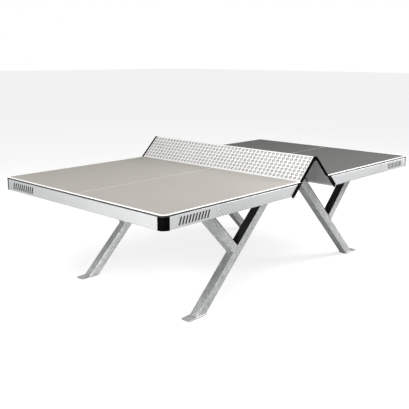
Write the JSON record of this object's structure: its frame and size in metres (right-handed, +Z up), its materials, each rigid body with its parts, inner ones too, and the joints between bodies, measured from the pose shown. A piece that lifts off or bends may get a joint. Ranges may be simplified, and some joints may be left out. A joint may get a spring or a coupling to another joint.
{
  "type": "ping pong table",
  "caption": "Outdoor ping pong table: laminate half tops on Y-shaped galvanised steel legs, with a solid net of two sheet leaves that lean together and meet at a rounded crest.",
  "frame": {"origin": "on the floor, under the middle of the net", "axes": "+X along the table towards the dark far half, +Y across the table, +Z up"},
  "size_m": [2.74, 1.533, 0.9084],
  "materials": {
    "top_light": "warm light grey compact laminate with a fine satin texture",
    "top_dark": "dark grey compact laminate with a fine satin texture",
    "apron_metal": "pale silver powder coat with a fine fleck",
    "black_plastic": "black moulded plastic, fine satin grain",
    "net_white": "white powder coat with rows of embossed grey rings",
    "galvanised": "hot-dip galvanised, mottled spangle"
  },
  "bodies": {
    "root": {"top_near": "top_light", "end_apron_near": "apron_metal", "net_leaf_near": "net_white", "net_beam_near": "apron_metal", "cross_member_near_inner": "galvanised", "cross_member_near_middle": "galvanised", "cross_member_near_outer": "galvanised", "side_apron_near_left": "apron_metal", "corner_cap_near_left": "black_plastic", "net_beam_cap_near_left": "black_plastic", "side_rail_near_left": "galvanised", "leg_main_bar_near_left": "galvanised", "leg_branch_near_left": "galvanised", "leg_top_plate_near_left": "galvanised", "leg_foot_plate_near_left": "galvanised", "leg_fork_liner_near_left": "black_plastic", "leg_bar_pad_near_left": "black_plastic", "side_apron_near_right": "apron_metal", "corner_cap_near_right": "black_plastic", "net_beam_cap_near_right": "black_plastic", "side_rail_near_right": "galvanised", "leg_main_bar_near_right": "galvanised", "leg_branch_near_right": "galvanised", "leg_top_plate_near_right": "galvanised", "leg_foot_plate_near_right": "galvanised", "leg_fork_liner_near_right": "black_plastic", "leg_bar_pad_near_right": "black_plastic", "top_far": "top_dark", "end_apron_far": "apron_metal", "net_leaf_far": "net_white", "net_beam_far": "apron_metal", "cross_member_far_inner": "galvanised", "cross_member_far_middle": "galvanised", "cross_member_far_outer": "galvanised", "side_apron_far_left": "apron_metal", "corner_cap_far_left": "black_plastic", "net_beam_cap_far_left": "black_plastic", "side_rail_far_left": "galvanised", "leg_main_bar_far_left": "galvanised", "leg_branch_far_left": "galvanised", "leg_top_plate_far_left": "galvanised", "leg_foot_plate_far_left": "galvanised", "leg_fork_liner_far_left": "black_plastic", "leg_bar_pad_far_left": "black_plastic", "side_apron_far_right": "apron_metal", "corner_cap_far_right": "black_plastic", "net_beam_cap_far_right": "black_plastic", "side_rail_far_right": "galvanised", "leg_main_bar_far_right": "galvanised", "leg_branch_far_right": "galvanised", "leg_top_plate_far_right": "galvanised", "leg_foot_plate_far_right": "galvanised", "leg_fork_liner_far_right": "black_plastic", "leg_bar_pad_far_right": "black_plastic", "net_ridge": "apron_metal", "net_trim_left": "black_plastic", "net_trim_right": "black_plastic"}
  },
  "joints": []
}
